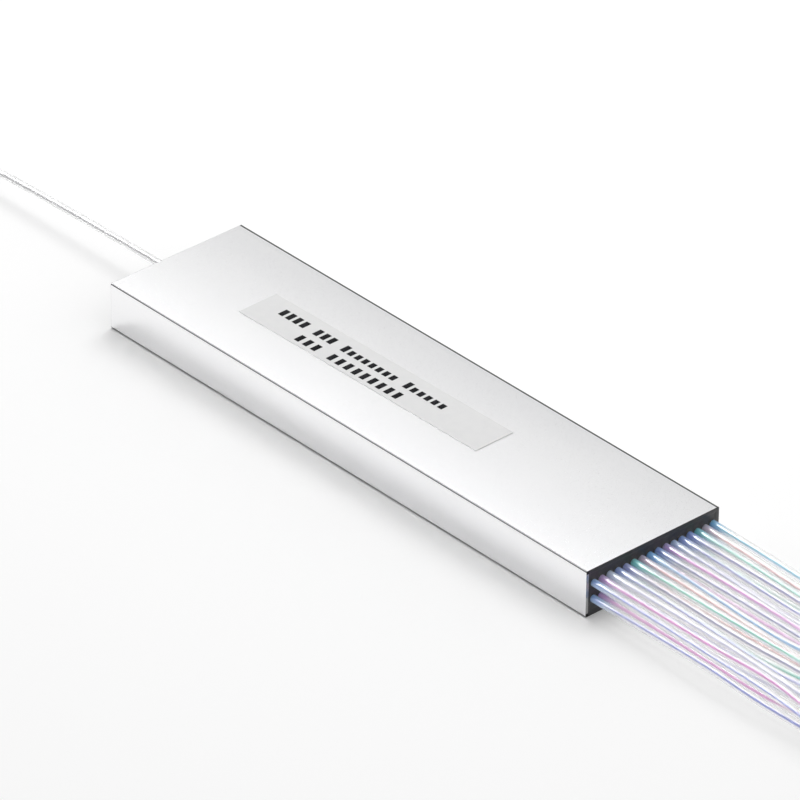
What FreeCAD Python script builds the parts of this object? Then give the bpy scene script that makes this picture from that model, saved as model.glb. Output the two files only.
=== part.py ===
import FreeCAD, Part
import math
import os

# One-by-thirty-two fibre splitter module in a flat metal tube.
# Millimetres. The origin is at the centre of the case's base, +X points out of the
# output end, +Z points up.

# Case: one length of drawn rectangular tube, open at both ends.
case_length = 80.0
case_width = 20.0
case_height = 6.0
case_wall = 0.4
case_outer_radius = 0.2
case_inner_radius = 0.15

# End plugs: black blocks pushed into the tube, a little below its rims.
plug_recess = 0.05
plug_clearance = 0.03
output_plug_depth = 8.0
input_plug_depth = 6.0
plug_edge_break = 0.12

# Loose tubes: sixteen columns in two rows at the output, one at the input.
tube_diameter = 0.9
hole_clearance = 0.03
output_columns = 16
output_rows = 2
column_pitch = 1.2
row_gap = 2.15
rows_height = 3.2
input_height = 3.35
tube_tail = 2.75  # how far a tube reaches past its plug, into the case

# Optical chain along the middle of the case: fibre, input array, chip, output array, ribbons.
chip_length = 17.5
chip_width = 6.0
chip_start = -17.5
optical_base_height = 2.0
lid_height = 1.0
chip_lid_length = 4.0
input_array_length = 6.5
input_array_width = 4.0
output_array_length = 10.0
output_array_width = 6.0
array_lid_length = 4.2
glue_line = 0.02
core_pitch = 0.127
bare_fibre_diameter = 0.125
coated_fibre_diameter = 0.245
groove_half_angle = 35.0
groove_land = 0.015  # flat left between two grooves

# Ribbons: four of eight fibres, two side by side in each of two layers.
ribbon_fibres = 8
ribbon_pitch = 0.25
ribbon_thickness = 0.3
ribbon_gap = 0.01
ribbon_overhang = 3.0

# Tray: a folded channel that carries the optical chain on two soft pads.
tray_sheet = 0.3
tray_side_gap = 0.5
tray_wall_height = 2.4
tray_overhang = 2.0
tray_bend_radius = 0.5
pad_thickness = 0.3
pad_length = 8.0
pad_width = 5.0
pad_inset = 3.0

# Label: a strip of film stuck on the top face, a touch askew.
label_length = 39.6
label_width = 5.7
label_thickness = 0.1
label_centre = (-5.85, 0.05)
label_turn = 0.6

# Fan of coated fibres from the ribbons to the tube mouths: share of the way along, share
# of the way out from the ribbon's pitch to the tubes' pitch. The many thin fibres have a
# section of few sides.
fibre_sides = 8
fan_stations = ((0.0, 0.0), (0.06, 0.0), (0.25, 0.085), (0.9, 1.0), (1.0, 1.0))

# Put-away hank of the output tubes: five turns of a block of four by eight tubes, laid
# three lanes wide below and two above, as a racetrack in line with the case.
lay_gap = 0.08  # between two tubes that lie side by side
block_columns = 4
block_gap = 0.08  # between two turns of the block
hank_lanes = 3
hank_outer_radius = 17.5
hank_run = 62.0
hank_side = 10.0  # how far the hank's near side lies from the middle of the case
hank_start = 62.0  # from the output end to the centre of the hank's near bend
hank_entry = 5.5  # straight stub ahead of that centre
hank_step_share = 0.35  # share of the run, next to the near bend, where the block changes lane

# Put-away coil of the input tube: four turns wide, three high.
coil_outer_radius = 14.5
coil_turns_wide = 4
coil_turns_high = 3
coil_pitch = 1.1
coil_centre = (-64.4, 5.0)  # from the input end
coil_entry = 6.0

# Ties: flat bands closed round each side of the hank and round the coil.
tie_width = 4.0
tie_thickness = 0.4
tie_clearance = 0.05
tie_corner_radius = 1.2
coil_tie_width = 2.5
coil_tie_thickness = 0.2
coil_tie_corner_radius = 0.6

# Route of the output tubes, shared by all: distance from the output end, turn of the rows
# in degrees, column pitch, row gap, height of the near half, and place of the far half.
output_route = (
    (3.5, 0.0, column_pitch, row_gap, rows_height, column_pitch / 2, rows_height),
    (18.0, -1.5, 1.19, 1.95, 3.15, 0.60, 2.90),
    (26.0, 1.5, 1.18, 1.90, 3.05, 0.55, 2.80),
    (31.5, 13.0, 1.15, 1.85, 2.80, 0.25, 2.45),
    (36.5, 32.0, 1.10, 1.70, 2.30, -1.25, 2.00),
    (41.5, 54.0, 1.05, 1.45, 1.60, -3.50, 1.45),
    (46.5, 75.0, 1.01, 1.26, 0.90, -5.60, 0.85),
)
last_run = 5.0  # straight into the hank or the coil

# Route of the input tube: distance from the input end, sideways, height.
input_route = (
    (-10.0, 0.0, input_height),
    (-38.0, 0.05, 2.45),
    (-44.0, -1.6, 2.1),
    (-49.0, -5.2, 1.3),
)

output_end = case_length / 2
input_end = -case_length / 2
inner_width = case_width - 2 * case_wall
inner_height = case_height - 2 * case_wall
tube_radius = tube_diameter / 2
lay_pitch = tube_diameter + lay_gap
half_columns = output_columns // 2
block_width = block_columns * lay_pitch
level_height = half_columns * lay_pitch
lane_pitch = block_width + block_gap
hank_centre_x = output_end + hank_start
hank_centre_y = hank_outer_radius - hank_side
hank_near_radius = hank_outer_radius - lane_pitch
hank_inner_radius = hank_outer_radius - hank_lanes * lane_pitch
hank_height = 2 * level_height + lay_gap
ties_x = hank_centre_x + hank_run / 2
coil_centre_x = input_end + coil_centre[0]
coil_centre_y = coil_centre[1]
coil_height = coil_turns_high * coil_pitch
coil_inner_radius = coil_outer_radius - coil_turns_wide * coil_pitch

chip_end = chip_start + chip_length
input_array_start = chip_start - input_array_length
output_array_end = chip_end + output_array_length
tray_start = input_array_start - tray_overhang
tray_end = output_array_end + tray_overhang
tray_floor = case_wall + pad_thickness
optical_floor = tray_floor + tray_sheet
core_height = optical_floor + optical_base_height
tray_inner_width = max(chip_width, output_array_width) + 2 * tray_side_gap
ribbon_end = output_array_end + ribbon_overhang
tube_start = output_end - plug_recess - output_plug_depth - tube_tail
input_tube_start = input_end + plug_recess + input_plug_depth + tube_tail
near_half_place = -(output_columns - 1) / 2 * column_pitch


def box(x0, x1, y0, y1, z0, z1):
    return Part.makeBox(x1 - x0, y1 - y0, z1 - z0, FreeCAD.Vector(x0, y0, z0))


def centred_box(x0, x1, width, z0, z1):
    return box(x0, x1, -width / 2, width / 2, z0, z1)


def rounded_rectangle(x, y0, y1, z0, z1, radius):
    """Closed wire in the plane at x, with round corners."""
    corners = ((y1, z1, 0), (y0, z1, 90), (y0, z0, 180), (y1, z0, 270))
    edges = []
    ends = []
    for y, z, start in corners:
        centre_y = y - radius if start in (0, 270) else y + radius
        centre_z = z - radius if start in (0, 90) else z + radius
        points = []
        for angle in (start, start + 45, start + 90):
            turn = math.radians(angle)
            points.append(FreeCAD.Vector(x, centre_y + radius * math.cos(turn), centre_z + radius * math.sin(turn)))
        edges.append(Part.Arc(*points).toShape())
        ends.append((points[0], points[2]))
    for index in range(4):
        edges.append(Part.LineSegment(ends[index][1], ends[(index + 1) % 4][0]).toShape())
    return Part.Wire(Part.__sortEdges__(edges))


def rounded_bar(x0, x1, width, z0, z1, radius):
    """Bar along X with the given section and round long edges."""
    section = Part.Face(rounded_rectangle(x0, -width / 2, width / 2, z0, z1, radius))
    return section.extrude(FreeCAD.Vector(x1 - x0, 0, 0))


def rod(x0, x1, y, z, diameter):
    return Part.makeCylinder(diameter / 2, x1 - x0, FreeCAD.Vector(x0, y, z), FreeCAD.Vector(1, 0, 0))


def fibre_section(start, diameter):
    """Closed many-sided wire across X, inside the fibre's circle."""
    corners = []
    for index in range(fibre_sides + 1):
        turn = 2 * math.pi * (index + 0.5) / fibre_sides
        corners.append(start + FreeCAD.Vector(0, math.cos(turn), math.sin(turn)) * (diameter / 2))
    return Part.makePolygon(corners)


def outline_prism(edges, z0, height):
    """Upright prism over a closed outline of edges in the plane at z0."""
    face = Part.Face(Part.Wire(Part.__sortEdges__(edges)))
    return face.extrude(FreeCAD.Vector(0, 0, height))


def line(a, b, z):
    return Part.LineSegment(FreeCAD.Vector(a[0], a[1], z), FreeCAD.Vector(b[0], b[1], z)).toShape()


def bend(centre, radius, start, end, z):
    """Arc about a centre, between two angles in degrees."""
    points = []
    for angle in (start, (start + end) / 2, end):
        turn = math.radians(angle)
        points.append(FreeCAD.Vector(centre[0] + radius * math.cos(turn), centre[1] + radius * math.sin(turn), z))
    return Part.Arc(*points).toShape()


def smooth_path(points):
    """Straight runs joined by tangent arcs, each as large as its two runs allow."""
    edges = []
    radii = []
    at = points[0]
    for index in range(1, len(points) - 1):
        before = points[index - 1] - points[index]
        after = points[index + 1] - points[index]
        half_turn = (math.pi - before.getAngle(after)) / 2
        reach = 0.45 * min(before.Length, after.Length)
        radius = reach / math.tan(half_turn)
        before.normalize()
        after.normalize()
        arc_start = points[index] + before * reach
        arc_end = points[index] + after * reach
        inward = before + after
        inward.normalize()
        centre_gap = radius / math.cos(half_turn)
        middle = points[index] + inward * (centre_gap - radius)
        edges.append(Part.LineSegment(at, arc_start).toShape())
        edges.append(Part.Arc(arc_start, middle, arc_end).toShape())
        radii.append(radius)
        at = arc_end
    edges.append(Part.LineSegment(at, points[-1]).toShape())
    return Part.Wire(edges), radii


def swept_rod(path, start, direction, diameter, corners):
    """Round rod along a path; corners is 1 for mitred and 0 for smooth ones."""
    circle = Part.Wire(Part.makeCircle(diameter / 2, start, direction))
    return path.makePipeShell([circle], True, False, corners)


def cord_tube(name, points):
    path, radii = smooth_path(points)
    tube = swept_rod(path, points[0], points[1] - points[0], tube_diameter, 0)
    expected = math.pi * tube_radius**2 * path.Length
    print(
        "%s: length %.1f, tightest radius %.1f, volume over section times length %.4f"
        % (name, path.Length, min(radii), tube.Volume / expected)
    )
    return tube


def case_shell():
    outer = rounded_bar(input_end, output_end, case_width, 0, case_height, case_outer_radius)
    inner = rounded_bar(
        input_end - 1, output_end + 1, inner_width, case_wall, case_height - case_wall, case_inner_radius
    )
    return outer.cut(inner)


def plug_block(x0, x1):
    low = case_wall + plug_clearance
    high = case_height - case_wall - plug_clearance
    return rounded_bar(x0, x1, inner_width - 2 * plug_clearance, low, high, plug_edge_break)


def output_places():
    """Column, row and hole centre of each output tube, near column first."""
    for column in range(output_columns):
        for row in (1, -1):
            across = (column - (output_columns - 1) / 2) * column_pitch
            yield column, row, across, rows_height + row * row_gap / 2


def output_end_plug():
    face = output_end - plug_recess
    block = plug_block(face - output_plug_depth, face)
    bore = tube_diameter + 2 * hole_clearance
    holes = [rod(face - output_plug_depth - 1, face + 1, y, z, bore) for _, _, y, z in output_places()]
    return block.cut(Part.makeCompound(holes))


def input_end_plug():
    face = input_end + plug_recess
    block = plug_block(face, face + input_plug_depth)
    bore = tube_diameter + 2 * hole_clearance
    return block.cut(rod(face - 1, face + input_plug_depth + 1, 0, input_height, bore))


def chip_tray():
    outer_width = tray_inner_width + 2 * tray_sheet
    outer = rounded_bar(
        tray_start, tray_end, outer_width, tray_floor, tray_floor + 2 * tray_wall_height, tray_bend_radius
    )
    inner = rounded_bar(
        tray_start - 1,
        tray_end + 1,
        tray_inner_width,
        optical_floor,
        optical_floor + 2 * tray_wall_height,
        tray_bend_radius - tray_sheet,
    )
    rim = tray_floor + tray_wall_height
    above = centred_box(tray_start - 1, tray_end + 1, outer_width + 1, rim, rim + 2 * tray_wall_height)
    return outer.cut(inner).cut(above)


def soft_pad(x0):
    return centred_box(x0, x0 + pad_length, pad_width, case_wall, tray_floor)


def plc_chip():
    return centred_box(chip_start, chip_end, chip_width, optical_floor, core_height)


def chip_lid(x0):
    return centred_box(x0, x0 + chip_lid_length, chip_width, core_height, core_height + lid_height)


def groove_shape():
    """Half width and depth of one groove, and how far the fibres' axes lie above the land."""
    half_width = (core_pitch - groove_land) / 2
    depth = half_width / math.tan(math.radians(groove_half_angle))
    rise = bare_fibre_diameter / 2 / math.sin(math.radians(groove_half_angle)) - depth
    return half_width, depth, rise


def groove_array(x0, x1, width, count, chip_side, shelf_depth):
    """Glass base with a grooved land at the chip and a lower shelf for the coated fibre."""
    half_width, depth, rise = groove_shape()
    land = core_height - rise - glue_line / 2
    base = centred_box(x0, x1, width, optical_floor, land)
    if chip_side < 0:
        groove_start, groove_end = x0, x0 + array_lid_length
        shelf = centred_box(groove_end, x1 + 1, width + 1, core_height - shelf_depth, land + 1)
    else:
        groove_start, groove_end = x1 - array_lid_length, x1
        shelf = centred_box(x0 - 1, groove_start, width + 1, core_height - shelf_depth, land + 1)
    cuts = [shelf]
    for index in range(count):
        y = (index - (count - 1) / 2) * core_pitch
        corners = (
            FreeCAD.Vector(groove_start - 1, y - half_width, land),
            FreeCAD.Vector(groove_start - 1, y, land - depth),
            FreeCAD.Vector(groove_start - 1, y + half_width, land),
            FreeCAD.Vector(groove_start - 1, y - half_width, land),
        )
        groove = Part.Face(Part.makePolygon(corners))
        cuts.append(groove.extrude(FreeCAD.Vector(groove_end - groove_start + 2, 0, 0)))
    return base.cut(Part.makeCompound(cuts))


def array_lid(x0, width):
    low = core_height + bare_fibre_diameter / 2
    return centred_box(x0, x0 + array_lid_length, width, low, low + lid_height)


def input_fibre():
    """Coated fibre from the tube's mouth, stripped where it lies in its groove."""
    strip = chip_start - array_lid_length
    lead = 1.0
    path = Part.makePolygon(
        (
            FreeCAD.Vector(input_tube_start, 0, input_height),
            FreeCAD.Vector(input_tube_start + lead, 0, input_height),
            FreeCAD.Vector(input_array_start - lead, 0, core_height),
            FreeCAD.Vector(strip, 0, core_height),
        )
    )
    start = FreeCAD.Vector(input_tube_start, 0, input_height)
    coated = swept_rod(path, start, FreeCAD.Vector(1, 0, 0), coated_fibre_diameter, 1)
    return coated.fuse(rod(strip, chip_start, 0, core_height, bare_fibre_diameter))


def output_count():
    return output_columns * output_rows


def bare_fibres():
    """The stripped fibres of the four ribbons, side by side in their grooves."""
    fibres = []
    for index in range(output_count()):
        y = (index - (output_count() - 1) / 2) * core_pitch
        section = Part.Face(fibre_section(FreeCAD.Vector(chip_end, y, core_height), bare_fibre_diameter))
        fibres.append(section.extrude(FreeCAD.Vector(array_lid_length, 0, 0)))
    return Part.makeCompound(fibres)


def ribbon(side, layer):
    """One ribbon: side is -1 or 1 across the case, layer is -1 below and 1 above."""
    width = ribbon_fibres * ribbon_pitch - ribbon_gap
    middle = side * ribbon_fibres * ribbon_pitch / 2
    low = core_height if layer > 0 else core_height - ribbon_thickness
    high = low + ribbon_thickness
    start = chip_end + array_lid_length
    section = Part.Face(
        rounded_rectangle(start, middle - width / 2, middle + width / 2, low, high, ribbon_thickness * 0.4)
    )
    return section.extrude(FreeCAD.Vector(ribbon_end - start, 0, 0))


def fan_out_fibres():
    """A coated fibre from each ribbon place to the mouth of its tube."""
    fibres = []
    for column, row, y_end, z_end in output_places():
        y_start = (column - (output_columns - 1) / 2) * ribbon_pitch
        z_start = core_height + row * ribbon_thickness / 2
        points = []
        for along, out in fan_stations:
            points.append(
                FreeCAD.Vector(
                    ribbon_end + along * (tube_start - ribbon_end),
                    y_start + out * (y_end - y_start),
                    z_start + out * (z_end - z_start),
                )
            )
        section = fibre_section(points[0], coated_fibre_diameter)
        fibres.append(Part.makePolygon(points).makePipeShell([section], True, False, 1))
    return Part.makeCompound(fibres)


def label():
    strip = box(
        -label_length / 2,
        label_length / 2,
        -label_width / 2,
        label_width / 2,
        case_height,
        case_height + label_thickness,
    )
    strip.rotate(FreeCAD.Vector(0, 0, 0), FreeCAD.Vector(0, 0, 1), label_turn)
    strip.translate(FreeCAD.Vector(label_centre[0], label_centre[1], 0))
    return strip


def hank_lane_y(lane):
    """Middle of a lane on the hank's near side; lane 0 is the outermost."""
    return hank_centre_y - hank_outer_radius + block_width / 2 + lane * lane_pitch


def output_tube_points(column, row):
    """The tubes run as two blocks of eight columns that turn on edge side by side."""
    far_half = column >= half_columns
    place = column - half_columns if far_half else column
    across = (column - (output_columns - 1) / 2) * column_pitch
    points = [FreeCAD.Vector(tube_start, across, rows_height + row * row_gap / 2)]
    for along, turn, pitch, gap, near_height, far_place, far_height in output_route:
        angle = math.radians(turn)
        y0 = far_place if far_half else near_half_place
        z0 = far_height if far_half else near_height
        y = y0 + place * pitch * math.cos(angle) - row * gap / 2 * math.sin(angle)
        z = z0 + place * pitch * math.sin(angle) + row * gap / 2 * math.cos(angle)
        points.append(FreeCAD.Vector(output_end + along, y, z))
    y = hank_lane_y(0) + ((1 if far_half else -1) - row * 0.5) * lay_pitch
    z = (place + 0.5) * lay_pitch
    face = hank_centre_x - hank_entry
    points.append(FreeCAD.Vector(face - last_run, y, z))
    points.append(FreeCAD.Vector(face, y, z))
    return points


def hank_hole(z0, height):
    near = (hank_centre_x, hank_centre_y)
    far = (hank_centre_x + hank_run, hank_centre_y)
    low = hank_centre_y - hank_inner_radius
    high = hank_centre_y + hank_inner_radius
    edges = (
        line((near[0], low), (far[0], low), z0),
        bend(far, hank_inner_radius, -90, 90, z0),
        line((far[0], high), (near[0], high), z0),
        bend(near, hank_inner_radius, 90, 270, z0),
    )
    return outline_prism(edges, z0, height)


def hank_layer(z0, height, has_entry):
    """One layer of the hank: a racetrack that is a lane narrower round its near bend."""
    near = (hank_centre_x, hank_centre_y)
    far = (hank_centre_x + hank_run, hank_centre_y)
    step_x = hank_centre_x + hank_step_share * hank_run
    wide_low = hank_centre_y - hank_outer_radius
    wide_high = hank_centre_y + hank_outer_radius
    edges = [
        bend(far, hank_outer_radius, -90, 90, z0),
        line((far[0], wide_high), (step_x, wide_high), z0),
        line((step_x, wide_high), (near[0], hank_centre_y + hank_near_radius), z0),
    ]
    if has_entry:
        face = hank_centre_x - hank_entry
        inner = wide_low + block_width + block_gap / 2
        side = hank_near_radius - block_gap
        drop = math.degrees(math.asin(side / hank_near_radius))
        meet_x = hank_centre_x - hank_near_radius * math.cos(math.radians(drop))
        meet_y = hank_centre_y - side
        edges.append(bend(near, hank_near_radius, 90, 180 + drop, z0))
        edges.append(line((meet_x, meet_y), (face, meet_y), z0))
        edges.append(line((face, meet_y), (face, wide_low), z0))
        edges.append(line((face, wide_low), (far[0], wide_low), z0))
    else:
        edges.append(bend(near, hank_near_radius, 90, 270, z0))
        edges.append(line((near[0], hank_centre_y - hank_near_radius), (step_x, wide_low), z0))
        edges.append(line((step_x, wide_low), (far[0], wide_low), z0))
    return outline_prism(edges, z0, height).cut(hank_hole(z0 - 1, height + 2))


def waist(x, width, y0, y1, z1, depth, corner_radius):
    """Groove cut all round a bundle between y0 and y1, from the floor up to z1."""
    x0 = x - width / 2
    around = box(x0, x0 + width, y0 - 1, y1 + 1, -1, z1 + 1)
    section = rounded_rectangle(x0, y0 + depth, y1 - depth, depth, z1 - depth, corner_radius - depth)
    core = Part.Face(section).extrude(FreeCAD.Vector(width, 0, 0))
    return around.cut(core)


def band(x, width, y0, y1, z1, thickness, corner_radius):
    """Flat tie closed round a bundle, flush with it."""
    x0 = x - width / 2
    outer = Part.Face(rounded_rectangle(x0, y0, y1, 0, z1, corner_radius))
    inner = Part.Face(
        rounded_rectangle(
            x0, y0 + thickness, y1 - thickness, thickness, z1 - thickness, corner_radius - thickness
        )
    )
    return outer.cut(inner).extrude(FreeCAD.Vector(width, 0, 0))


def hank_side_limits(side):
    """The hank between its hole and its outside; side is -1 near and 1 far."""
    ends = (hank_centre_y + side * hank_inner_radius, hank_centre_y + side * hank_outer_radius)
    return min(ends), max(ends)


def output_hank():
    split = level_height + lay_gap / 2
    lower = hank_layer(0, split, True)
    upper = hank_layer(split, hank_height - split, False)
    hank = lower.fuse(upper)
    for side in (-1, 1):
        y0, y1 = hank_side_limits(side)
        groove = waist(
            ties_x,
            tie_width + 2 * tie_clearance,
            y0,
            y1,
            hank_height,
            tie_thickness + tie_clearance,
            tie_corner_radius,
        )
        hank = hank.cut(groove)
    return hank.removeSplitter()


def hank_tie(side):
    y0, y1 = hank_side_limits(side)
    return band(ties_x, tie_width, y0, y1, hank_height, tie_thickness, tie_corner_radius)


def input_tube_points():
    points = [FreeCAD.Vector(input_tube_start, 0, input_height)]
    for along, y, z in input_route:
        points.append(FreeCAD.Vector(input_end + along, y, z))
    face = coil_centre_x + coil_entry
    y = coil_centre_y - coil_outer_radius + coil_pitch / 2
    points.append(FreeCAD.Vector(face + last_run, y, coil_pitch / 2))
    points.append(FreeCAD.Vector(face, y, coil_pitch / 2))
    return points


def coil_tie_limits():
    return coil_centre_y + coil_inner_radius, coil_centre_y + coil_outer_radius


def input_coil():
    centre = FreeCAD.Vector(coil_centre_x, coil_centre_y, 0)
    ring = Part.makeCylinder(coil_outer_radius, coil_height, centre)
    low = coil_centre_y - coil_outer_radius
    ring = ring.fuse(box(coil_centre_x, coil_centre_x + coil_entry, low, low + coil_pitch, 0, coil_pitch))
    ring = ring.cut(Part.makeCylinder(coil_inner_radius, coil_height + 2, centre - FreeCAD.Vector(0, 0, 1)))
    y0, y1 = coil_tie_limits()
    groove = waist(
        coil_centre_x,
        coil_tie_width + 2 * tie_clearance,
        y0,
        y1,
        coil_height,
        coil_tie_thickness + tie_clearance,
        coil_tie_corner_radius,
    )
    return ring.cut(groove)


def coil_tie():
    y0, y1 = coil_tie_limits()
    return band(coil_centre_x, coil_tie_width, y0, y1, coil_height, coil_tie_thickness, coil_tie_corner_radius)


def all_parts():
    parts = {
        "case_shell": case_shell(),
        "output_end_plug": output_end_plug(),
        "input_end_plug": input_end_plug(),
        "chip_tray": chip_tray(),
        "tray_pad_input": soft_pad(tray_start + pad_inset),
        "tray_pad_output": soft_pad(tray_end - pad_inset - pad_length),
        "plc_chip": plc_chip(),
        "chip_lid_input": chip_lid(chip_start),
        "chip_lid_output": chip_lid(chip_end - chip_lid_length),
        "input_array": groove_array(
            input_array_start, chip_start, input_array_width, 1, 1, coated_fibre_diameter / 2
        ),
        "input_array_lid": array_lid(chip_start - array_lid_length, input_array_width),
        "output_array": groove_array(
            chip_end, output_array_end, output_array_width, output_count(), -1, ribbon_thickness
        ),
        "output_array_lid": array_lid(chip_end, output_array_width),
        "input_fibre": input_fibre(),
        "bare_fibres": bare_fibres(),
        "fan_out_fibres": fan_out_fibres(),
        "label": label(),
        "output_hank": output_hank(),
        "hank_tie_near": hank_tie(-1),
        "hank_tie_far": hank_tie(1),
        "input_coil": input_coil(),
        "coil_tie": coil_tie(),
        "input_tube": cord_tube("input_tube", input_tube_points()),
    }
    for side, side_name in ((-1, "near"), (1, "far")):
        for layer, layer_name in ((-1, "lower"), (1, "upper")):
            parts["ribbon_%s_%s" % (layer_name, side_name)] = ribbon(side, layer)
    number = 0
    for column, row, _, _ in output_places():
        number += 1
        name = "output_tube_%02d" % number
        parts[name] = cord_tube(name, output_tube_points(column, row))
    return parts


def main():
    os.makedirs("parts", exist_ok=True)
    for name, shape in all_parts().items():
        shape.exportStep(os.path.join("parts", name + ".step"))
        print(name, "valid" if shape.isValid() else "NOT VALID", len(shape.Solids), round(shape.Volume, 3))


main()
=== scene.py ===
import math

import bpy
import numpy as np
from mathutils import Matrix, Vector


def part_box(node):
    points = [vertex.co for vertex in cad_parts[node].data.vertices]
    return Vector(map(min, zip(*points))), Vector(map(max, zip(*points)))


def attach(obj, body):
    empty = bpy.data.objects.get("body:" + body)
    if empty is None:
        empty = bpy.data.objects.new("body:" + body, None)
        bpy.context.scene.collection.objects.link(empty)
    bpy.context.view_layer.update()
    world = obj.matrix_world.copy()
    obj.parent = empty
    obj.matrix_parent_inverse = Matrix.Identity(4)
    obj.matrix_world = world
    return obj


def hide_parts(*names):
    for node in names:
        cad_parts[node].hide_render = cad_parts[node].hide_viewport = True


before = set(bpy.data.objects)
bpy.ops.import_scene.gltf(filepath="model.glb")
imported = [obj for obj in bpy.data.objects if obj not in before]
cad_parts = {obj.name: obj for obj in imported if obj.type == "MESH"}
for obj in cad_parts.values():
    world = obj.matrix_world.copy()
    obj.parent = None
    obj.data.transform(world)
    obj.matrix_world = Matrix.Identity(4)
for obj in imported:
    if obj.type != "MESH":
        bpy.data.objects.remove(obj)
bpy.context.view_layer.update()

# One-by-thirty-two fibre splitter: a flat metal case, one loose tube in, thirty-two out.
# Sizes in the dictionaries are millimetres. +X points out of the output end.
mm = 0.001
halfCase = round(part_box("case_shell")[1][0] / mm, 3)
middleHeight = round(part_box("case_shell")[1][2] / mm / 2, 3)
print("frame loaded,", len(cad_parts), "nodes")

# Angles in degrees. The camera looks at a point over the middle of the case.
cameraView = {
    "azimuth": 47.646,
    "elevation": 32.159,
    "roll": 0.682,
    "distance": 986.1,
    "lens": 393.82,
    "sensor": 36.0,
    "clip": (0.05, 20.0),  # metres
    "targetHeight": 3.0,
    "slideRight": -0.982,
    "slideUp": 1.719,
}


def placeCamera(view):
    # The camera looks back along a direction set by two angles, rolled about that direction.
    around, above, roll = (math.radians(view[k]) for k in ("azimuth", "elevation", "roll"))
    level = math.cos(above)
    back = Vector((math.sin(around) * level, -math.cos(around) * level, math.sin(above)))
    right = Vector((0, 0, 1)).cross(back).normalized()
    up = back.cross(right)
    right, up = (
        right * math.cos(roll) + up * math.sin(roll),
        up * math.cos(roll) - right * math.sin(roll),
    )
    place = (
        Vector((0, 0, view["targetHeight"]))
        + right * view["slideRight"]
        + up * view["slideUp"]
        + back * view["distance"]
    )
    data = bpy.data.cameras.new("camera")
    data.lens = view["lens"]
    data.sensor_width = view["sensor"]
    data.clip_start, data.clip_end = view["clip"]
    camera = bpy.data.objects.new("camera", data)
    bpy.context.scene.collection.objects.link(camera)
    turn = Matrix((right, up, back)).transposed().to_4x4()
    camera.matrix_world = Matrix.Translation(place * mm) @ turn
    bpy.context.scene.camera = camera


placeCamera(cameraView)
print("camera placed")

# The loose tubes and the fibre inside each.
tubes = {
    "diameter": 0.9,
    "fibreDiameter": 0.25,
    "fibreShows": 3.5,  # bare fibre past the cut end of its tube
    "fibreSag": 0.06,  # how far below the middle of its tube the fibre lies
    "fibreWander": 0.05,  # how far the fibre strays from the middle of its tube
    "inputSag": 0.17,
    "inputWander": 0.02,
    "wanderPace": (0.83, 0.61),  # sideways and upwards, radians from point to point
    "outputLength": 1000.0,
    "inputLength": 950.0,
    "columns": 16,
    "columnPitch": 1.2,
    "rowGap": 2.15,
    "rowsHeight": 3.2,  # midway between the two rows
    "start": 29.2,  # where a tube begins, inside the case
    "inputStart": -31.2,
    "inputHeight": 3.35,
    "ringsPerPoint": 4,
    "sides": 18,
    "fibreSides": 6,
    "phaseStep": 2.399,  # radians from tube to tube, so that no two stray alike
    "strayPace": 0.09,  # radians per millimetre
    "liftPace": 1.7,  # lifts come this many times as often as leans
}

# Distance from the output end, turn of the rows in degrees, column pitch, row gap,
# height of the near half, place of the far half, height of the far half, and how far one
# tube may stray from its place, sideways and upwards.
outputRoute = (
    (3.5, 0.0, 1.2, 2.15, 3.2, 0.6, 3.2, 0.0, 0.0),
    (18.0, -1.5, 1.19, 1.95, 3.15, 0.60, 2.90, 0.15, 0.40),
    (26.0, 1.5, 1.18, 1.90, 3.05, 0.55, 2.80, 0.20, 0.45),
    (31.5, 13.0, 1.15, 1.85, 2.80, 0.25, 2.45, 0.0, 0.12),
    (36.5, 32.0, 1.10, 1.70, 2.30, -1.25, 2.00, 0.0, 0.0),
    (41.5, 54.0, 1.05, 1.45, 1.60, -3.50, 1.45, 0.0, 0.0),
    (46.5, 75.0, 1.01, 1.26, 0.90, -5.60, 0.85, 0.0, 0.0),
)
nearHalfPlace = -9.0  # sideways place of the first column

# Distance from the input end, sideways, height.
inputRoute = ((-10.0, 0.0, 3.35), (-38.0, 0.05, 2.45), (-44.0, -1.6, 2.1), (-49.0, -5.2, 1.3))

# Put-away length of the output tubes: three lanes wide on the floor, two lanes on top.
hank = {
    "pitch": 0.98,  # from tube to tube in the block
    "laneRadii": (15.54, 11.54, 7.54),  # to the middle of the block
    "levelRise": 7.92,
    "centreY": 7.5,
    "nearBendX": 102.0,
    "farBendX": 164.0,
    "entry": (91.5, 96.5),
    "stepsAt": (104.3, 109.0, 116.0, 123.0),  # where a run changes lane, if it does
    "tieAt": (128.5, 133.0, 137.5),
    "openAt": (147.0, 161.7),
    "squeezeAbout": 11.5,  # radius that the ties draw the tubes towards
    "squeezeAcross": 0.934,
    "squeezeUp": 0.946,
    "tieLift": 0.45,  # the tie's own thickness lies under the tubes
    "climbFrom": 160.9,  # where the block climbs to the upper level
    "climbTo": 126.8,
    "pointsPerBend": 8,
    "endAt": 126.5,
    "endSpread": 4.0,  # the cut ends lie this far apart along the run
    "stepOut": (1.0, 1.0, 0.5),  # share of a lane still to go at the first places of a run
    "lastPlaces": 5,
}

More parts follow.
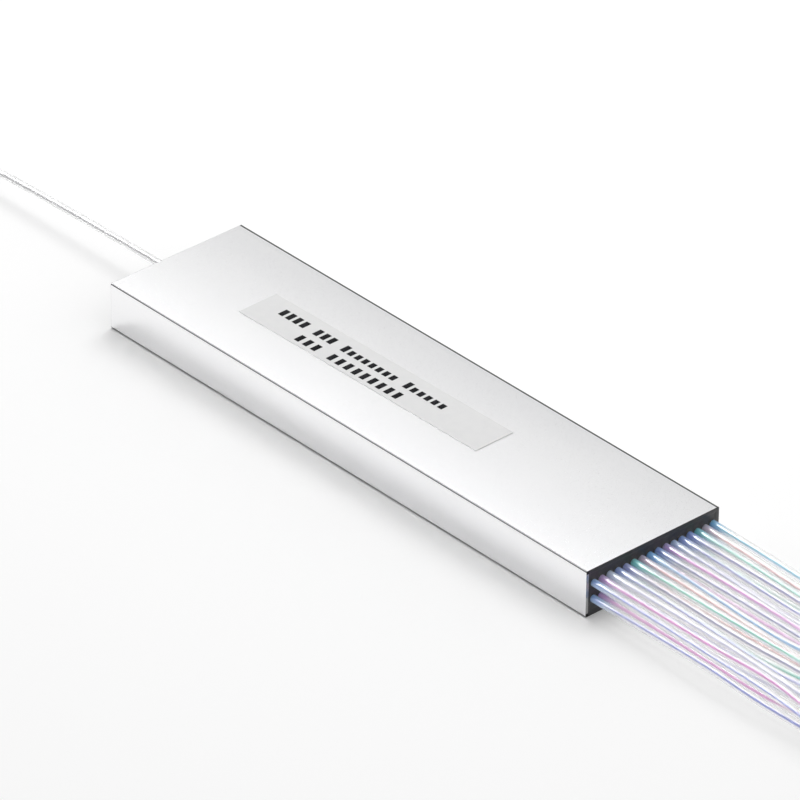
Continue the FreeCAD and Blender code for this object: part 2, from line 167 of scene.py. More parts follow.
# Put-away length of the input tube: four lanes wide, three levels high and a little more.
coil = {
    "centre": (-104.4, 5.0),
    "entry": (-93.4, -98.4),
    "outerRadius": 13.95,
    "entryHeight": 0.55,
    "pointsPerTurn": 20,
    "turns": 11.42,
    "freePitch": 1.12,  # turns lie looser away from the tie
    "tiePitch": 0.95,
    "tieOuterRadius": 13.725,
    "tieLift": 0.25,
    "tieAt": 0.5,  # share of a turn
    "tieReach": 0.13,
    "freeRise": 1.02,
    "tieRise": 0.95,
    "lanesIn": (0.8, 1.8, 2.8, 8.0, 9.0, 10.0),  # turns made where the tube steps a lane inwards
    "lanesOut": (4.4, 5.4, 6.4),
    "levelsUp": (3.6, 7.2, 10.8),
    "stepTakes": 0.2,
    "floorHeight": 0.46,
    "sway": (0.05, 7.3),  # how far, and radians per turn
    "bob": (0.06, 4.1),
}


def smoothStep(share):
    share = np.clip(share, 0.0, 1.0)
    return share * share * (3.0 - 2.0 * share)


# The block of thirty-two tubes goes round the hank as one lattice: along a run or a bend,
# each tube keeps its own offset inwards and its own height, scaled where a tie holds them.
def hankStations():
    side, x, lane, level, angle, held = [], [], [], [], [], []

    def run(nearSide, places, lanes, levels):
        for place, laneHere, levelHere in zip(places, lanes, levels):
            side.append(-1 if nearSide else 1)
            x.append(place)
            lane.append(laneHere)
            level.append(levelHere)
            angle.append(np.nan)
            held.append(1.0 if place in hank["tieAt"] + (hank["endAt"],) else 0.0)

    def bend(farEnd, laneHere, levelHere):
        step = 180.0 / hank["pointsPerBend"]
        for i in range(hank["pointsPerBend"]):
            side.append(0)
            x.append(hank["farBendX"] if farEnd else hank["nearBendX"])
            lane.append(laneHere)
            level.append(levelHere)
            angle.append((-90.0 if farEnd else 90.0) + step * (i + 0.5))
            held.append(0.0)

    outward = hank["stepsAt"] + hank["tieAt"] + hank["openAt"]
    homeward = outward[::-1]
    count = len(outward)
    climbRun = hank["climbFrom"] - hank["climbTo"]
    climb = [float(smoothStep((hank["climbFrom"] - p) / climbRun)) for p in homeward]
    stepOut = list(hank["stepOut"]) + [0.0] * (count - len(hank["stepOut"]))
    for turn in range(3):
        places = outward[1:] if turn == 0 else outward
        run(True, places, [turn] * len(places), [0.0] * len(places))
        bend(True, turn, 0.0)
        if turn < 2:
            run(False, homeward, [turn + s for s in stepOut[::-1]], [0.0] * count)
            bend(False, turn + 1, 0.0)
        else:
            run(False, homeward, [2] * count, climb)
            bend(False, 2, 1.0)
    for turn in (1, 0):
        run(True, outward, [turn + s for s in stepOut], [1.0] * count)
        bend(True, turn, 1.0)
        if turn == 1:
            run(False, homeward, [1] * count, [1.0] * count)
            bend(False, 1, 1.0)
        else:
            last = hank["lastPlaces"]
            run(False, homeward[:last], [0] * last, [1.0] * last)
            run(False, [hank["endAt"]], [0], [1.0])
    return [np.array(a, float) for a in (side, x, lane, level, angle, held)]


# Sideways places of the columns, from the near side.
def columnPlaces():
    return (np.arange(tubes["columns"]) - (tubes["columns"] - 1) / 2) * tubes["columnPitch"]


# All thirty-two routes at once, as an array of tube, point and axis: out of the case in two
# rows, gathered on edge, and round the hank.
def outputTubePoints():
    count = 2 * tubes["columns"]
    column = np.repeat(np.arange(tubes["columns"]), 2)
    row = np.tile([1.0, -1.0], tubes["columns"])
    farHalf = column >= tubes["columns"] // 2
    place = column % (tubes["columns"] // 2)
    start = np.stack(
        [
            np.full(count, tubes["start"]),
            columnPlaces()[column],
            tubes["rowsHeight"] + row * tubes["rowGap"] / 2,
        ],
        axis=1,
    )
    along, turn, pitch, gap, nearHeight, farPlace, farHeight, aside, lift = np.array(outputRoute).T
    turn = np.radians(turn)
    y0 = np.where(farHalf[:, None], farPlace, nearHalfPlace)
    z0 = np.where(farHalf[:, None], farHeight, nearHeight)
    across = place[:, None] * pitch
    half = row[:, None] * gap / 2
    phase = np.arange(count)[:, None] * tubes["phaseStep"] + along * tubes["strayPace"]
    gather = np.stack(
        [
            np.broadcast_to(halfCase + along, across.shape),
            y0 + across * np.cos(turn) - half * np.sin(turn) + aside * np.sin(phase),
            z0 + across * np.sin(turn) + half * np.cos(turn) + lift * np.cos(tubes["liftPace"] * phase),
        ],
        axis=2,
    )
    inward = (np.where(farHalf, 1.0, -1.0) - row * 0.5) * hank["pitch"]
    height = (place + 0.5) * hank["pitch"]
    entryY = hank["centreY"] - hank["laneRadii"][0] + inward
    entry = np.stack(
        [np.stack([np.full(count, x), entryY, height], axis=1) for x in hank["entry"]], axis=1
    )
    side, x, lane, level, angle, held = hankStations()
    radius = np.interp(lane, (0, 1, 2), hank["laneRadii"]) - inward[:, None]
    z = height[:, None] + level * hank["levelRise"]
    about = hank["squeezeAbout"]
    radius = np.where(held > 0, about + (radius - about) * hank["squeezeAcross"], radius)
    z = np.where(held > 0, hank["tieLift"] + z * hank["squeezeUp"], z)
    turned = np.radians(np.nan_to_num(angle))
    reach = radius / math.cos(math.radians(90.0 / hank["pointsPerBend"]))
    onBend = ~np.isnan(angle)
    winding = np.stack(
        [
            np.where(onBend, x + reach * np.cos(turned), x),
            hank["centreY"] + np.where(onBend, reach * np.sin(turned), side * radius),
            z,
        ],
        axis=2,
    )
    spread = np.sin(np.arange(count) * tubes["phaseStep"]) * hank["endSpread"] / 2
    winding[:, -1, 0] += spread
    return np.concatenate([start[:, None], gather, entry, winding], axis=1) * mm


# Lane and level of the input tube as functions of the turns made so far. Each kind of step
# has a fifth of the turn to itself, so no step meets another.
def inputTubePoints():
    centreX, centreY = coil["centre"]
    points = [(tubes["inputStart"], 0.0, tubes["inputHeight"])]
    points += [(x - halfCase, y, z) for x, y, z in inputRoute]
    points += [(x, centreY - coil["outerRadius"], coil["entryHeight"]) for x in coil["entry"]]
    count = int(coil["turns"] * coil["pointsPerTurn"])
    made = (np.arange(count) + 0.5) / coil["pointsPerTurn"]

    def stepsMade(starts):
        return sum(smoothStep((made - s) / coil["stepTakes"]) for s in starts)

    lane = stepsMade(coil["lanesIn"]) - stepsMade(coil["lanesOut"])
    level = stepsMade(coil["levelsUp"])
    fromTie = np.abs((made % 1.0) - coil["tieAt"])
    held = np.exp(-((fromTie / coil["tieReach"]) ** 2))
    loose = 1.0 - held
    sway, bob = (far * np.sin(made * pace) for far, pace in (coil["sway"], coil["bob"]))
    pitch = coil["tiePitch"] * held + coil["freePitch"] * loose
    outer = coil["tieOuterRadius"] * held + coil["outerRadius"] * loose
    rise = coil["tieRise"] * held + coil["freeRise"] * loose
    radius = (outer - lane * pitch + sway * loose) / math.cos(math.pi / coil["pointsPerTurn"])
    angle = np.radians(-90.0) - made * 2 * math.pi
    z = coil["floorHeight"] + coil["tieLift"] * held + level * rise + (coil["bob"][0] + bob) * loose
    turns = np.stack([centreX + radius * np.cos(angle), centreY + radius * np.sin(angle), z], axis=1)
    return np.concatenate([np.array(points), turns]) * mm


def newFinish(name, colour, roughness, metallic=0.0, ior=1.5):
    finish = bpy.data.materials.new(name)
    finish.use_nodes = True
    shader = finish.node_tree.nodes["Principled BSDF"]
    shader.inputs["Base Color"].default_value = (*colour, 1.0)
    shader.inputs["Roughness"].default_value = roughness
    shader.inputs["Metallic"].default_value = metallic
    shader.inputs["IOR"].default_value = ior
    return finish


class Graph:
    # A few short calls for the nodes of one finish. Places are in millimetres.
    def __init__(self, finish):
        self.nodes = finish.node_tree.nodes
        self.links = finish.node_tree.links
        self.shader = self.nodes["Principled BSDF"]
        self.place = None

    def join(self, source, target):
        self.links.new(source, target)

    def coordinates(self):
        if self.place is None:
            where = self.nodes.new("ShaderNodeTexCoord")
            scaled = self.nodes.new("ShaderNodeMapping")
            scaled.inputs["Scale"].default_value = (1 / mm, 1 / mm, 1 / mm)
            self.join(where.outputs["Object"], scaled.inputs["Vector"])
            self.place = scaled.outputs["Vector"]
        return self.place

    def axes(self):
        parts = self.nodes.new("ShaderNodeSeparateXYZ")
        self.join(self.coordinates(), parts.inputs[0])
        return parts.outputs

    def noise(self, size, detail, stretch=(1.0, 1.0, 1.0)):
        mapping = self.nodes.new("ShaderNodeMapping")
        mapping.inputs["Scale"].default_value = stretch
        self.join(self.coordinates(), mapping.inputs["Vector"])
        texture = self.nodes.new("ShaderNodeTexNoise")
        texture.inputs["Scale"].default_value = 1.0 / size
        texture.inputs["Detail"].default_value = detail
        self.join(mapping.outputs["Vector"], texture.inputs["Vector"])
        return texture.outputs["Fac"]

    def work(self, operation, first, second=None):
        node = self.nodes.new("ShaderNodeMath")
        node.operation = operation
        for socket, value in zip(node.inputs, (first, second)):
            if value is None:
                continue
            if isinstance(value, (int, float)):
                socket.default_value = value
            else:
                self.join(value, socket)
        return node.outputs[0]

    def spread(self, value, low, high, lowTo=0.0, highTo=1.0):
        node = self.nodes.new("ShaderNodeMapRange")
        node.interpolation_type = "SMOOTHSTEP"
        for socket, number in zip(node.inputs[1:5], (low, high, lowTo, highTo)):
            socket.default_value = number
        self.join(value, node.inputs[0])
        return node.outputs[0]

    def mix(self, share, first, second):
        node = self.nodes.new("ShaderNodeMix")
        node.data_type = "RGBA"
        self.join(share, node.inputs["Factor"])
        for socket, value in zip((node.inputs[6], node.inputs[7]), (first, second)):
            if isinstance(value, tuple):
                socket.default_value = (*value, 1.0)
            else:
                self.join(value, socket)
        return node.outputs[2]

    def bump(self, height, strength, distance):
        node = self.nodes.new("ShaderNodeBump")
        node.inputs["Strength"].default_value = strength
        node.inputs["Distance"].default_value = distance * mm
        self.join(height, node.inputs["Height"])
        self.join(node.outputs["Normal"], self.shader.inputs["Normal"])

    def colour(self, value):
        self.join(value, self.shader.inputs["Base Color"])

    def roughness(self, value):
        self.join(value, self.shader.inputs["Roughness"])


# A speckle of two tones with a fine relief, for moulded, cast and coated pieces.
def speckled(name, light, dark, roughness, grain, relief=0.15, ior=1.5):
    finish = newFinish(name, light, roughness, ior=ior)
    graph = Graph(finish)
    cloud = graph.noise(grain * 6, 2.0)
    graph.colour(graph.mix(graph.spread(cloud, 0.35, 0.7), light, dark))
    graph.bump(graph.noise(grain, 3.0), relief, grain * 0.3)
    return finish


# Drawn metal: fine streaks along X over a satin ground.
def drawnMetal(name, light, dark, roughness, streak):
    finish = newFinish(name, light, roughness, metallic=1.0)
    graph = Graph(finish)
    lines = graph.noise(streak, 4.0, stretch=(0.02, 1.0, 1.0))
    graph.colour(graph.mix(graph.spread(lines, 0.3, 0.7), light, dark))
    graph.roughness(graph.spread(lines, 0.3, 0.7, roughness * 0.85, roughness * 1.15))
    graph.bump(lines, 0.2, streak * 0.1)
    return finish


caseFinish = {
    "light": (0.94, 0.94, 0.945),
    "dark": (0.91, 0.91, 0.92),
    # colour of the painted dark reflection on the bends
    "edge": (0.07, 0.07, 0.072),
    "cutEnd": (0.42, 0.42, 0.425),
    "resinSmear": (0.028, 0.028, 0.030),
    "roughness": 0.30,
    "grain": 0.09,
    "grainHeight": 0.0012,
    "driftSize": 14.0,
    "faceCrown": 120.0,  # radius of the slight bulge across the wide faces
    "sideCrown": 28.0,
    "sideSmoother": 0.35,
    "nearEdge": 9.83,  # where the painted dark reflection on the bends begins, from the middle of the case
    "farEdge": 9.64,
    "heightEdge": 2.83,
    "edgeBlur": 0.03,
    "sideFrom": (9.85, 9.95),
    "smearHeight": (2.50, 2.62),  # where resin is wiped over the cut end
    "smearFar": (9.3, 9.5),
    "endDepth": (0.03, 0.005),
}


# Satin steel with a painted dark reflection on the bends along its four long edges. The bump's height
# falls with the square of the distance from the middle, so the flat faces look slightly crowned.
def caseMetal():
    look = caseFinish
    finish = newFinish("caseMetal", look["light"], look["roughness"], metallic=1.0)
    graph = Graph(finish)
    x, y, z = graph.axes()[:3]
    blasted = graph.noise(look["grain"], 3.0)
    drift = graph.noise(look["driftSize"], 2.0, stretch=(0.4, 1.0, 1.0))
    ground = graph.mix(graph.spread(drift, 0.3, 0.7), look["light"], look["dark"])
    fromMiddle = graph.work("SUBTRACT", z, middleHeight)
    up, across = graph.work("ABSOLUTE", fromMiddle), graph.work("ABSOLUTE", y)
    besideY = graph.work(
        "MAXIMUM",
        graph.work("SUBTRACT", y, look["farEdge"]),
        graph.work("SUBTRACT", -look["nearEdge"], y),
    )
    besideZ = graph.work("SUBTRACT", up, look["heightEdge"])
    beside = graph.work("MINIMUM", besideY, besideZ)
    # painted dark reflection on the bends of the long edges, placed by position
    edge = graph.spread(beside, -look["edgeBlur"], look["edgeBlur"])
    withPaintedEdgeReflection = graph.mix(edge, ground, look["edge"])
    wiped = graph.spread(up, *look["smearHeight"])
    smear = graph.work("MAXIMUM", wiped, graph.spread(y, *look["smearFar"]))
    cut = graph.mix(smear, look["cutEnd"], look["resinSmear"])
    endFrom, endTo = (halfCase - depth for depth in look["endDepth"])
    atEnd = graph.spread(graph.work("ABSOLUTE", x), endFrom, endTo)
    graph.colour(graph.mix(atEnd, withPaintedEdgeReflection, cut))
    grain = graph.spread(blasted, 0.3, 0.7, look["roughness"] * 0.9, look["roughness"] * 1.1)
    onSide = graph.spread(across, *look["sideFrom"], 1.0, look["sideSmoother"])
    graph.roughness(graph.work("MULTIPLY", grain, onSide))
    crown = graph.work(
        "ADD",
        graph.work("MULTIPLY", graph.work("MULTIPLY", y, y), -0.5 / look["faceCrown"]),
        graph.work(
            "MULTIPLY", graph.work("MULTIPLY", fromMiddle, fromMiddle), -0.5 / look["sideCrown"]
        ),
    )
    relief = graph.work("MULTIPLY", blasted, look["grainHeight"])
    graph.bump(graph.work("ADD", crown, relief), 1.0, 1.0)
    return finish


tubeFinish = {
    "milk": (0.97, 0.97, 0.98),
    "alpha": 0.36,
    "alphaAtCase": 0.82,
    "ior": 1.6,
    "roughness": 0.22,
    "coatRoughness": 0.12,
    "sheen": 0.3,
    "sheenRoughness": 0.4,
    "scatter": 0.8,  # how far light carries inside the milky wall
    "paintedRefractionStart": -0.5,  # where the painted refraction begins to fade, from the end of the case
    "paintedRefractionReach": 5.0,  # how far from the case the painted refraction reaches
    "tintLeft": 0.25,  # share of the mouth colour in the clouds further out
    "cloudSize": 3.0,
    "cloudShare": 0.10,
}


# Loose tube: milky and see-through. Where it leaves the case its colour holds a painted refraction: the
# fibre's colour and the dark resin as seen through the tube.
def tubeSkin(name, paintedRefraction, outward):
    look = tubeFinish
    finish = newFinish(name, look["milk"], look["roughness"], ior=look["ior"])
    graph = Graph(finish)
    sockets = graph.shader.inputs
    sockets["Specular IOR Level"].default_value = 1.0
    sockets["Coat Weight"].default_value = 1.0
    sockets["Coat Roughness"].default_value = look["coatRoughness"]
    sockets["Sheen Weight"].default_value = look["sheen"]
    sockets["Sheen Roughness"].default_value = look["sheenRoughness"]
    sockets["Subsurface Weight"].default_value = 1.0
    sockets["Subsurface Radius"].default_value = (1.0, 1.0, 1.0)
    sockets["Subsurface Scale"].default_value = look["scatter"] * mm
    along = graph.work("MULTIPLY", graph.axes()[0], outward)
    farEnd = halfCase + look["paintedRefractionReach"]
    fade = graph.spread(along, halfCase + look["paintedRefractionStart"], farEnd)
    cloud = graph.work("MULTIPLY", graph.noise(look["cloudSize"], 2.0), look["cloudShare"])
    left = tuple(1.0 - look["tintLeft"] + look["tintLeft"] * c for c in paintedRefraction)
    # painted refraction near the case, fading to milk further out
    graph.colour(graph.mix(fade, paintedRefraction, graph.mix(cloud, look["milk"], left)))
    clear = graph.spread(along, halfCase, farEnd, look["alphaAtCase"], look["alpha"])
    graph.join(clear, sockets["Alpha"])
    return finish


def fibreSkin(name, colour):
    finish = newFinish(name, colour, 0.3)
    graph = Graph(finish)
    dusty = tuple(c * 0.8 + 0.05 for c in colour)
    graph.colour(graph.mix(graph.noise(2.0, 2.0), colour, dusty))
    return finish


# Column colours from the near side: fibre, then the painted refraction that shows at the mouth of its
# tube.
columnColours = (
    ("tube_blue", (0.05, 0.12, 0.84), (0.33, 0.51, 0.97)),
    ("tube_magenta", (0.88, 0.04, 0.70), (0.53, 0.40, 0.71)),
    ("tube_pale_violet", (0.62, 0.62, 0.94), (0.59, 0.68, 0.97)),
    ("tube_blue_violet", (0.16, 0.18, 0.76), (0.33, 0.46, 0.82)),
    ("tube_slate", (0.10, 0.09, 0.34), (0.36, 0.42, 0.75)),
    ("tube_teal", (0.02, 0.74, 0.52), (0.22, 0.66, 0.71)),
    ("tube_salmon", (0.92, 0.30, 0.32), (0.49, 0.46, 0.62)),
    ("tube_bright_blue", (0.02, 0.42, 0.98), (0.20, 0.49, 1.00)),
    ("tube_navy", (0.04, 0.05, 0.38), (0.24, 0.38, 0.78)),
    ("tube_orchid", (0.88, 0.06, 0.76), (0.45, 0.39, 0.73)),
    ("tube_pale_violet", (0.48, 0.50, 0.92), (0.45, 0.59, 0.97)),
    ("tube_blue_violet", (0.12, 0.14, 0.70), (0.29, 0.43, 0.84)),
    ("tube_slate", (0.12, 0.12, 0.52), (0.26, 0.38, 0.78)),
    ("tube_teal", (0.02, 0.70, 0.50), (0.20, 0.59, 0.71)),
    ("tube_salmon", (0.92, 0.42, 0.44), (0.55, 0.53, 0.67)),
    ("tube_sky", (0.02, 0.60, 0.96), (0.26, 0.57, 1.00)),
)


# One open quadratic spline through the route, with a round section.
def strand(name, points, diameter, finish, sides):
    curve = bpy.data.curves.new(name, "CURVE")
    curve.dimensions = "3D"
    curve.resolution_u = tubes["ringsPerPoint"]
    curve.bevel_depth = diameter * mm / 2
    curve.bevel_resolution = (sides - 4) // 2
    curve.use_fill_caps = True
    spline = curve.splines.new("NURBS")
    spline.points.add(len(points) - 1)
    spline.points.foreach_set("co", np.hstack([points, np.ones((len(points), 1))]).ravel())
    spline.order_u = 3
    spline.use_endpoint_u = True
    curve.materials.append(finish)
    piece = bpy.data.objects.new(name, curve)
    bpy.context.scene.collection.objects.link(piece)
    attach(piece, "root")
    return piece


# The fibre lies loose in its tube, a little off its middle, and shows past the cut end.
def fibreRoute(points, phase, sag, stray):
    along = np.arange(len(points))
    asidePace, upPace = tubes["wanderPace"]
    sideways = np.sin(asidePace * along + phase)
    upwards = np.sin(upPace * along + 2.0 * phase)
    wander = np.stack([0.0 * along, sideways, upwards], axis=1) * stray * mm
    wander[:, 2] -= sag * mm
    wander[0] = 0.0
    way = points[-1] - points[-2]
    way /= np.linalg.norm(way)
    return np.concatenate([points + wander, (points[-1] + way * tubes["fibreShows"] * mm)[None]])


# A tube and the fibre in it. Diffuse light passes the clear tube.
def layTube(name, fibreName, points, skin, core, sag, stray, phase, nodes):
    tube = strand(name, points, tubes["diameter"], skin, tubes["sides"])
    route = fibreRoute(points, phase, sag, stray)
    fibre = strand(fibreName, route, tubes["fibreDiameter"], core, tubes["fibreSides"])
    tube.visible_diffuse = False
    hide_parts(*nodes)
    return tube, fibre


def makeOutputTubes():
    skins = [tubeSkin(f"tubeSkin{i + 1:02d}", c[2], 1.0) for i, c in enumerate(columnColours)]
    cores = [fibreSkin(f"fibreSkin{i + 1:02d}", c[1]) for i, c in enumerate(columnColours)]
    for i, points in enumerate(outputTubePoints()):
        column = i // 2
        tube, fibre = layTube(
            f"outputTube{i + 1:02d}",
            f"outputFibre{i + 1:02d}",
            points,
            skins[column],
            cores[column],
            tubes["fibreSag"],
            tubes["fibreWander"],
            i,
            (f"output_tube_{i + 1:02d}", "output_hank"),
        )
        tube.visible_shadow = fibre.visible_diffuse = False  # fibres shade the floor, untinted


def makeInputTube():
    points = inputTubePoints()
    layTube(
        "inputTube",
        "inputFibre",
        points,
        tubeSkin("tubeSkinInput", (0.93, 0.93, 0.97), -1.0),
        fibreSkin("fibreSkinInput", (0.50, 0.50, 0.52)),
        tubes["inputSag"],
        tubes["inputWander"],
        0.5,
        ("input_tube", "input_coil"),
    )


makeOutputTubes()
makeInputTube()
print("cords laid")


def addMesh(name, corners, faces, finish):
    mesh = bpy.data.meshes.new(name)
    mesh.from_pydata((np.asarray(corners) * mm).tolist(), [], faces)
    mesh.materials.append(finish)
    piece = bpy.data.objects.new(name, mesh)
    bpy.context.scene.collection.objects.link(piece)
    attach(piece, "root")
    return piece


resin = {
    "tone": (0.030, 0.030, 0.032),
    "deepTone": (0.022, 0.022, 0.024),
    "step": 0.1,
    "faceDepth": 0.05,  # from the end of the case
    "rimProud": 0.012,  # where the resin is wiped over the ends of the walls
    "acrossTo": (-9.63, 9.93),
    "heightTo": (0.06, 5.94),
    "climb": 0.14,  # how far the resin climbs each tube
    "climbWidth": 0.12,
    "wallY": 9.6,  # inner sides of the case, from its middle
    "wallZ": 2.6,
    "wipeWidth": 0.25,
    "unevenness": 0.006,
    "waves": ((4.1, 2.3), (-1.9, 7.7)),  # radians per millimetre across and up
    "thickness": 0.06,
}


# Cured resin over one end. Its face is level between the tubes, rises round each tube by a
# term that dies away with the distance from the tube, and rises to the rim at the walls.
def resinSkin(name, outward, tubePlaces, finish):
    y, z = (
        np.arange(low, high + resin["step"] / 2, resin["step"])
        for low, high in (resin["acrossTo"], resin["heightTo"])
    )
    across, height = np.meshgrid(y, z)
    places = np.asarray(tubePlaces)
    apart = np.hypot(across[..., None] - places[:, 0], height[..., None] - places[:, 1])
    outside = np.clip(apart.min(axis=2) - tubes["diameter"] / 2, 0.0, None)
    climb = resin["climb"] * np.exp(-outside / resin["climbWidth"])
    fromSides = resin["wallY"] - np.abs(across)
    fromFaces = resin["wallZ"] - np.abs(height - middleHeight)
    wiped = smoothStep(1.0 - np.minimum(fromSides, fromFaces) / resin["wipeWidth"])
    wave, crossWave = (np.sin(a * across + b * height) for a, b in resin["waves"])
    uneven = resin["unevenness"] * wave * crossWave
    face, rim = halfCase - resin["faceDepth"], halfCase + resin["rimProud"]
    x = face + climb + (rim - face) * wiped + uneven
    corners = np.stack([outward * x, across, height], axis=2).reshape(-1, 3)
    rows, columns = across.shape
    first = (np.arange(rows - 1)[:, None] * columns + np.arange(columns - 1)).ravel()
    order = (0, 1, columns + 1, columns) if outward > 0 else (0, columns, columns + 1, 1)
    faces = np.stack([first + step for step in order], axis=1).tolist()
    piece = addMesh(name, corners, faces, finish)
    shell = piece.modifiers.new("thickness", "SOLIDIFY")
    shell.thickness = resin["thickness"] * mm
    shell.offset = -1.0
    piece.data.polygons.foreach_set("use_smooth", [True] * len(faces))


def makeResin():
    finish = speckled("resinSkinFinish", resin["tone"], resin["deepTone"], 0.38, 0.25)
    rows = [tubes["rowsHeight"] + half * tubes["rowGap"] / 2 for half in (-1, 1)]
    resinSkin("outputResin", 1.0, [(y, z) for y in columnPlaces() for z in rows], finish)
    resinSkin("inputResin", -1.0, [(0.0, tubes["inputHeight"])], finish)


printed = {
    "centre": (-5.85, 0.05),
    "turn": 0.6,
    "surface": round(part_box("label")[1][2] / mm, 3),
    "thickness": 0.012,
    "sunk": 0.005,
    "ink": (0.012, 0.012, 0.013),
    "blockWidth": 0.74,
    # left end, height on the label, pitch of the blocks, blocks in each word
    "lines": (
        (-22.3, 0.80, 1.16, (4, 3, 8, 6)),
        (-17.0, -1.55, 1.36, (3, 9)),
    ),
    "tall": 1.36,
    "low": 1.0,
}


# Two rows of plain blocks stand for the print. In the upper row the first word is tall, and
# so is the first block of each other word.
def makePrint():
    blocks = []
    for number, (left, height, pitch, words) in enumerate(printed["lines"]):
        at = left
        for place, count in enumerate(words):
            for i in range(count):
                tall = number == 1 or place < 2 or i == 0
                size = printed["tall"] if tall else printed["low"]
                blocks.append((at, height - printed["tall"] / 2, printed["blockWidth"], size))
                at += pitch
            at += pitch
    blocks = np.array(blocks)
    unit = np.array([(i, j, k) for k in (0, 1) for j in (0, 1) for i in (0, 1)], float)
    corners = np.empty((len(blocks), 8, 3))
    corners[..., 0] = blocks[:, None, 0] + unit[:, 0] * blocks[:, None, 2]
    corners[..., 1] = blocks[:, None, 1] + unit[:, 1] * blocks[:, None, 3]
    deep = printed["thickness"] + printed["sunk"]
    corners[..., 2] = printed["surface"] - printed["sunk"] + unit[:, 2] * deep
    middle = np.array(printed["centre"])
    turn = math.radians(printed["turn"])
    spin = np.array([[math.cos(turn), -math.sin(turn)], [math.sin(turn), math.cos(turn)]])
    corners[..., :2] = (corners[..., :2] - middle) @ spin.T + middle
    sides = ((0, 2, 3, 1), (4, 5, 7, 6), (0, 1, 5, 4), (2, 6, 7, 3), (0, 4, 6, 2), (1, 3, 7, 5))
    faces = [tuple(8 * i + c for c in side) for i in range(len(blocks)) for side in sides]
    worn = tuple(2 * c for c in printed["ink"])
    finish = speckled("printInk", printed["ink"], worn, 0.7, 0.12, 0.05, ior=1.1)
    addMesh("labelPrint", corners.reshape(-1, 3), faces, finish)


makeResin()
makePrint()
print("resin and print added")

# Light tone, dark tone, roughness, grain, relief, then the nodes with that finish.
speckledFinishes = {
    "plugResin": (
        resin["tone"], resin["deepTone"], 0.42, 0.25, 0.15,
        ("output_end_plug", "input_end_plug"),
    ),
    "padSilicone": (
        (0.72, 0.72, 0.70), (0.66, 0.66, 0.64), 0.55, 0.3, 0.15,
        ("tray_pad_input", "tray_pad_output"),
    ),
    "chipSilica": (
        (0.62, 0.70, 0.78), (0.56, 0.65, 0.74), 0.08, 0.5, 0.03,
        ("plc_chip",),
    ),
    "arrayGlass": (
        (0.80, 0.86, 0.85), (0.74, 0.82, 0.80), 0.12, 0.6, 0.03,
        ("chip_lid_input", "chip_lid_output")
        + ("input_array", "input_array_lid", "output_array", "output_array_lid"),
    ),
    "fibreCoating": (
        (0.80, 0.79, 0.74), (0.55, 0.62, 0.78), 0.3, 0.3, 0.05,
        ("fan_out_fibres",),
    ),
    "fibreGlass": (
        (0.88, 0.90, 0.90), (0.82, 0.85, 0.86), 0.06, 0.4, 0.03,
        ("input_fibre", "bare_fibres"),
    ),
    "ribbonMatrix": (
        (0.78, 0.80, 0.86), (0.70, 0.72, 0.80), 0.35, 0.25, 0.08,
        ("ribbon_lower_near", "ribbon_lower_far", "ribbon_upper_near", "ribbon_upper_far"),
    ),
    "labelFilm": (
        (0.70, 0.70, 0.70), (0.685, 0.685, 0.687), 0.6, 0.2, 0.05,
        ("label",),
    ),
    "tiePlastic": (
        (0.86, 0.86, 0.86), (0.80, 0.80, 0.80), 0.4, 0.3, 0.1,
        ("hank_tie_near", "hank_tie_far", "coil_tie"),
    ),
}


def dress(finish, names):
    for name in names:
        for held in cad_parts[name].material_slots:
            held.material = finish


dress(caseMetal(), ["case_shell"])
dress(drawnMetal("trayMetal", (0.72, 0.72, 0.73), (0.60, 0.60, 0.62), 0.3, 0.08), ["chip_tray"])
for finishName, (*tones, names) in speckledFinishes.items():
    dress(speckled(finishName, *tones), names)
print("nodes dressed")

studio = {
    "floorColour": (0.97, 0.97, 0.97),
    "floorSize": 3000.0,
    "floorDrop": 0.03,
    "worldWay": (-0.45, 0.89, 0.0),
    "worldReach": 0.6,
    "worldLevels": (0.35, 1.13),  # from before the case to behind it
    "glossHeights": (0.34, 0.64),  # sine of the height above the horizon
    "glossLevels": (0.61, 1.00),
    "panelWay": (-0.625, -0.2, 0.755),  # a bright panel seen in gloss only
    "panelEdge": (0.91, 0.96),
    "panelLevel": 10.0,
    "keyPlace": (-110.0, 200.0, 410.0),
    "keyAim": (10.0, 0.0, 3.0),
    "keySize": 280.0,
    "keyLevel": 0.32,
}


def makeFloor():
    half = studio["floorSize"] * mm / 2
    low = -studio["floorDrop"] * mm
    corners = [(x * half, y * half, low) for x, y in ((-1, -1), (1, -1), (1, 1), (-1, 1))]
    mesh = bpy.data.meshes.new("floor")
    mesh.from_pydata(corners, [], [(0, 1, 2, 3)])
    floor = bpy.data.objects.new("floor", mesh)
    bpy.context.scene.collection.objects.link(floor)
    finish = newFinish("floorPaper", studio["floorColour"], 0.9)
    finish.node_tree.nodes["Principled BSDF"].inputs["Specular IOR Level"].default_value = 0.0
    mesh.materials.append(finish)


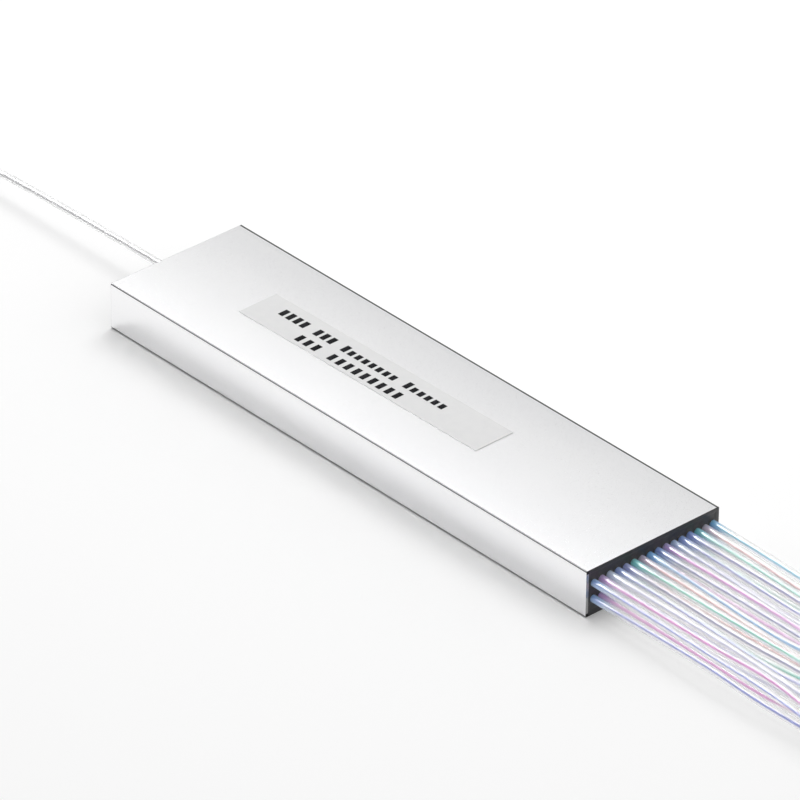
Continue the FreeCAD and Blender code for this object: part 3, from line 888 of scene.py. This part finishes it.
# White to the eye and through the tubes, darker towards the horizon in reflections, and for
# everything else brighter behind the case than before it.
def makeWorld():
    world = bpy.data.worlds.new("studio")
    bpy.context.scene.world = world
    world.use_nodes = True
    nodes, links = world.node_tree.nodes, world.node_tree.links
    rays = nodes.new("ShaderNodeLightPath")
    way = nodes.new("ShaderNodeTexCoord").outputs["Generated"]

    def along(axis):
        node = nodes.new("ShaderNodeVectorMath")
        node.operation = "DOT_PRODUCT"
        links.new(way, node.inputs[0])
        node.inputs[1].default_value = axis
        return node.outputs["Value"]

    def between(value, low, high, lowTo, highTo):
        node = nodes.new("ShaderNodeMapRange")
        links.new(value, node.inputs[0])
        for socket, number in zip(node.inputs[1:5], (low, high, lowTo, highTo)):
            if isinstance(number, (int, float)):
                socket.default_value = number
            else:
                links.new(number, socket)
        return node.outputs[0]

    reach = studio["worldReach"]
    plain = between(along(studio["worldWay"]), -reach, reach, *studio["worldLevels"])
    mirrored = between(along((0.0, 0.0, 1.0)), *studio["glossHeights"], *studio["glossLevels"])
    panel = between(along(studio["panelWay"]), *studio["panelEdge"], 0.0, studio["panelLevel"])
    both = nodes.new("ShaderNodeMath")
    links.new(mirrored, both.inputs[0])
    links.new(panel, both.inputs[1])
    level = between(rays.outputs["Is Glossy Ray"], 0.0, 1.0, plain, both.outputs[0])
    level = between(rays.outputs["Is Transmission Ray"], 0.0, 1.0, level, 1.0)
    level = between(rays.outputs["Is Camera Ray"], 0.0, 1.0, level, 1.0)
    links.new(level, nodes["Background"].inputs["Strength"])
    nodes["Background"].inputs["Color"].default_value = (1, 1, 1, 1)


# A square soft light; its power gives the level that a white sheet under it would show.
def softLight(name, place, aim, size, level):
    data = bpy.data.lights.new(name, "AREA")
    data.shape = "SQUARE"
    data.size = size * mm
    way = (Vector(place) - Vector(aim)) * mm
    data.energy = level * math.pi**2 * way.length**2 / (way.normalized().z or 1.0)
    light = bpy.data.objects.new(name, data)
    light.visible_glossy = False
    bpy.context.scene.collection.objects.link(light)
    turn = way.to_track_quat("Z", "Y").to_matrix().to_4x4()
    light.matrix_world = Matrix.Translation(Vector(place) * mm) @ turn


makeFloor()
makeWorld()
softLight("keyLight", studio["keyPlace"], studio["keyAim"], studio["keySize"], studio["keyLevel"])
bpy.context.scene.view_settings.view_transform = "Standard"
bpy.context.scene.cycles.transparent_max_bounces = 48  # a ray may cross many clear tubes
print("studio lit")
